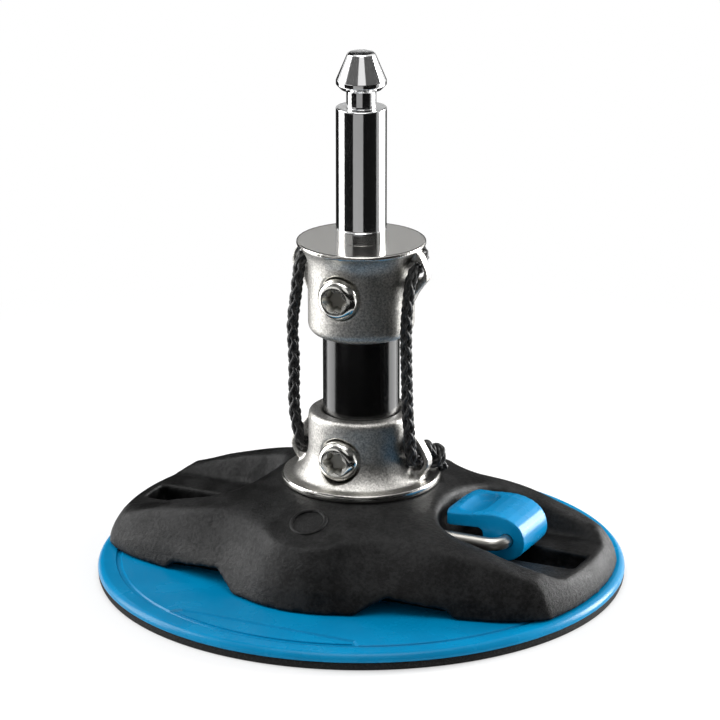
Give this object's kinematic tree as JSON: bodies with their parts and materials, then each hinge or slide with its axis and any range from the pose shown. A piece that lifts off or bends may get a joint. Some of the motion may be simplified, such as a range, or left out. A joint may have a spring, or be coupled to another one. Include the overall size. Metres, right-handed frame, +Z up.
{
  "type": "mast foot with suction disc",
  "caption": "Mast foot: a flexible tendon joint with a mast pin on a lever-operated suction disc, with a safety cord beside the joint.",
  "frame": {"origin": "middle of the pad's underside, on the floor", "axes": "+Z up along the mast pin, +X towards the lever, +Y to its left, away from the bolts' heads"},
  "size_m": [0.16, 0.16, 0.1612],
  "materials": {
    "pad": "black closed-cell foam",
    "disc": "satin blue moulding",
    "saddle": "black glass-filled nylon",
    "steel": "plain steel",
    "plate": "plain steel plate",
    "cast": "bead-blasted casting with polished edges",
    "polished": "polished stainless steel",
    "tendon": "glossy black urethane",
    "cord": "dark braided cord",
    "lever": "glossy blue moulding",
    "bush": "natural acetal"
  },
  "bodies": {
    "base": {"seal_pad": "pad", "suction_disc": "disc", "saddle": "saddle", "saddle_screws": "steel", "clamp_plate": "plate", "cup_screws": "steel", "lower_cup": "cast", "lower_bolt": "polished", "lower_nut": "polished", "cord_knots": "cord", "bail_bushes": "bush"},
    "tendon": {"tendon": "tendon", "safety_cord": "cord"},
    "mast_head": {"upper_cup": "cast", "upper_bolt": "polished", "upper_nut": "polished", "mast_pin": "polished", "pin_screw": "steel"},
    "bail": {"bail": "polished", "lift_yoke": "plate", "disc_stud": "steel", "stud_washer": "steel", "stud_nut": "steel"},
    "lever": {"lever": "lever"}
  },
  "joints": [
    {"name": "tendon_tilt_x", "type": "hinge", "parent": "base", "child": "tendon", "pos_m": [0, 0, 0.06385], "axis": [1, 0, 0], "range_deg": [-50, 50], "stiffness_Nm_per_rad": 6, "deforming": ["tendon", "safety_cord"]},
    {"name": "tendon_tilt_y", "type": "hinge", "parent": "tendon", "child": "mast_head", "pos_m": [0, 0, 0.06385], "axis": [0, 1, 0], "range_deg": [-50, 50], "stiffness_Nm_per_rad": 6, "deforming": ["tendon", "safety_cord"]},
    {"name": "bail_tilt", "type": "hinge", "parent": "base", "child": "bail", "pos_m": [-0.022, 0, 0.0208], "axis": [0, 1, 0], "range_deg": [0, 0.7087], "deforming": ["suction_disc"]},
    {"name": "lever_turn", "type": "hinge", "parent": "bail", "child": "lever", "pos_m": [0.0518, 0, 0.0208], "axis": [0, 1, 0], "range_deg": [0, 100]}
  ],
  "couplings": [
    {"joint": "bail_tilt", "follows": "lever_turn", "ratio": 0.0069873}
  ]
}
